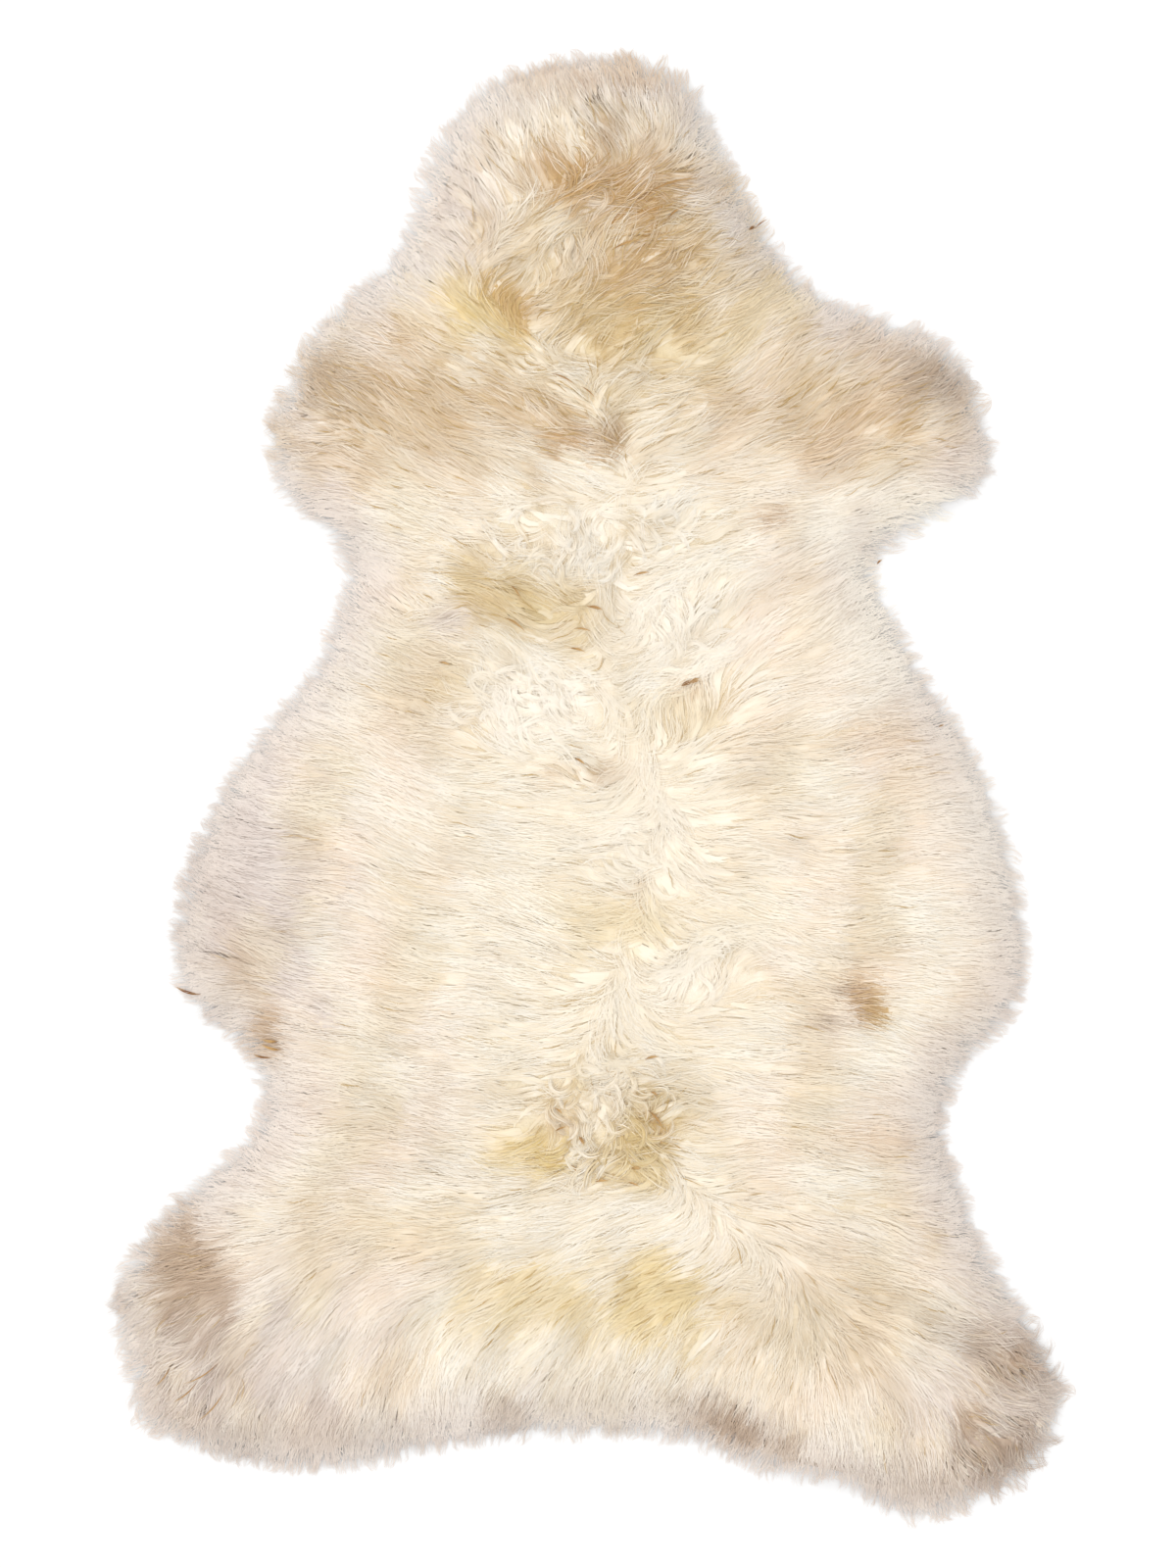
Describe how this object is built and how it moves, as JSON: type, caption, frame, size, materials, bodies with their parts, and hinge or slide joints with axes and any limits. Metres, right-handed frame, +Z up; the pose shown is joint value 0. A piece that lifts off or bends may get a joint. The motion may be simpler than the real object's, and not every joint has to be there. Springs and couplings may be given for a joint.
{
  "type": "sheepskin rug",
  "caption": "Whole long-wool sheepskin rug lying flat, wool side up: a thin tanned hide under a lumpy fleece whose locks fall to the floor all round.",
  "frame": {"origin": "on the floor, under the middle of the rug's box", "axes": "+Z up out of the wool, +Y from the hind legs to the head, +X to the right with the head at the top"},
  "size_m": [0.7094, 1.0956, 0.0464],
  "materials": {
    "wool": "long combed natural wool, cream with tan, yellow and grey-brown parts",
    "suede": "tanned skin with a matt suede nap"
  },
  "bodies": {
    "root": {"hide": "suede", "fleece": "wool"}
  },
  "joints": []
}
